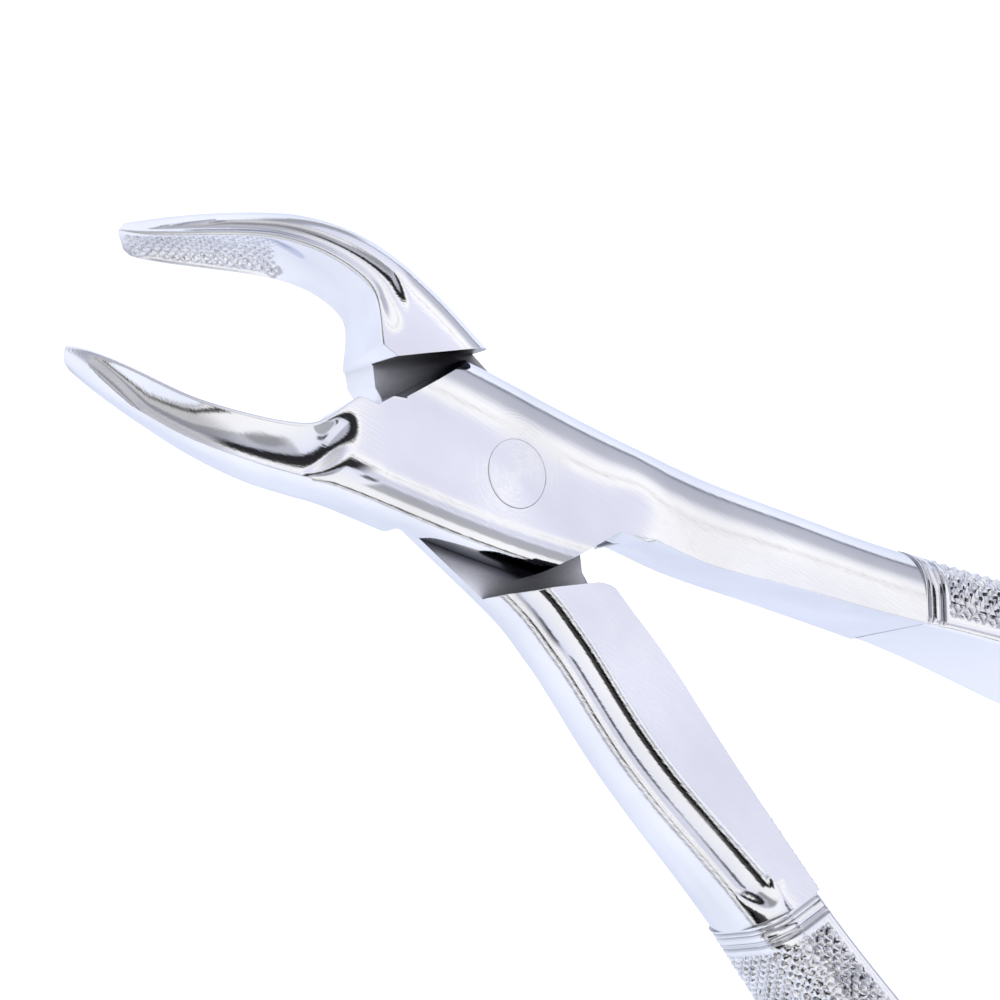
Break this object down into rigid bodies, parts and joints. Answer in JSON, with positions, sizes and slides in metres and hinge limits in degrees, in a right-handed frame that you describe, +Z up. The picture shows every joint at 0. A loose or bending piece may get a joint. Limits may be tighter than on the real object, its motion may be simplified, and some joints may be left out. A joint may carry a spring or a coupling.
{
  "type": "dental extraction forceps",
  "caption": "Steel tooth extraction forceps: two lap-jointed halves on a flush pin, bent beaks with fine serrations, long knurled handles.",
  "frame": {"origin": "on the hinge axis, at the flat front face of the joint", "axes": "+X from the joint towards the handles along the line that halves the opening, beaks towards -X and dipping below the joint, +Z up along the hinge axis out of the front face"},
  "size_m": [0.1674, 0.0758, 0.0191],
  "materials": {
    "polished_steel": "mirror polished, satin in the ground serrations and knurling",
    "pin_steel": "ground flush and polished with fine swirl marks"
  },
  "bodies": {
    "rear": {"rear_half": "polished_steel", "joint_pin": "pin_steel"},
    "front": {"front_half": "polished_steel"}
  },
  "joints": [
    {"name": "beak_hinge", "type": "hinge", "parent": "rear", "child": "front", "pos_m": [0, 0, -0.00395], "axis": [0, 0, 1], "range_deg": [-18, 36]}
  ]
}
